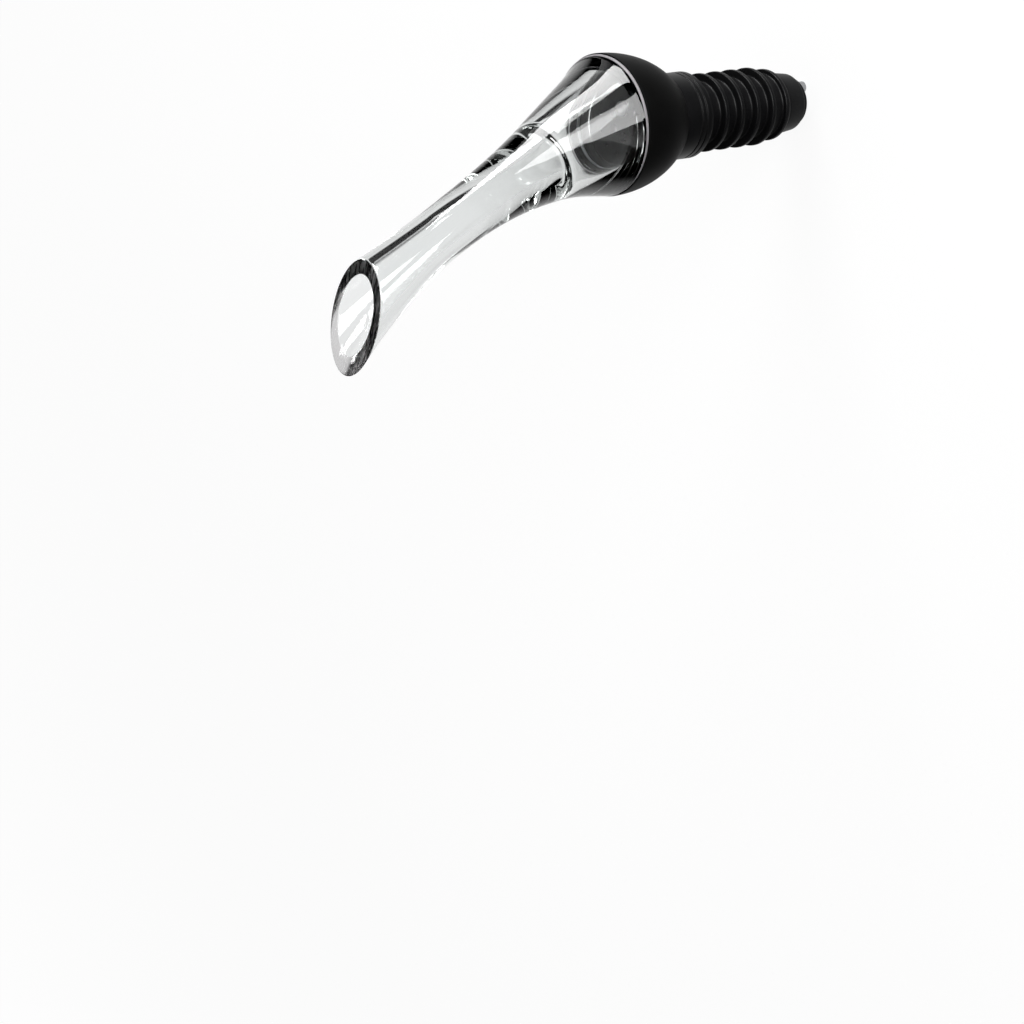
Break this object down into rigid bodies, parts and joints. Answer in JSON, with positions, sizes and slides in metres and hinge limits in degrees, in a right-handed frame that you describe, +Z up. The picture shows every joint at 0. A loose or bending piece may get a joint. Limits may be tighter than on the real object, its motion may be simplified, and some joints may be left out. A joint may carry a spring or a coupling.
{
  "type": "wine aerator pourer",
  "caption": "Clear bent aerator spout on a matt black bowl with a finned rubber bottle stopper; mixes air into wine as it pours.",
  "frame": {"origin": "on the stopper's axis, at the plane of the bottle's mouth, which is the underside of the stopper's collar", "axes": "+Z up the stopper's axis towards the bowl and spout, +X to the side that the spout pours to, XZ is the mirror plane"},
  "size_m": [0.0699, 0.0358, 0.1526],
  "materials": {
    "clear_acrylic": "polished clear acrylic",
    "matt_abs": "fine matt moulded texture",
    "moulded_abs": "satin as moulded",
    "stopper_rubber": "satin moulded rubber",
    "silicone": "translucent grey silicone",
    "stainless": "fine drawn stainless steel"
  },
  "bodies": {
    "stopper": {"stopper_sleeve": "stopper_rubber"},
    "base": {"base_bowl": "matt_abs", "stopper_stem": "moulded_abs", "stem_gasket": "silicone", "inner_funnel": "moulded_abs", "sediment_screen": "stainless", "screen_ring": "stainless", "plate_gasket": "silicone", "aerator_plate": "moulded_abs", "vent_tube": "stainless"},
    "seal": {"spout_seal": "silicone"},
    "spout": {"spout": "clear_acrylic"}
  },
  "joints": [
    {"name": "base_pull", "type": "slide", "parent": "stopper", "child": "base", "axis": [0, 0, 1], "range_m": [0, 0.055]},
    {"name": "spout_turn", "type": "hinge", "parent": "base", "child": "seal", "pos_m": [0, 0, 0.0235], "axis": [0, 0, 1], "continuous": true},
    {"name": "spout_pull", "type": "slide", "parent": "seal", "child": "spout", "axis": [0, 0, 1], "range_m": [0, 0.03]}
  ]
}
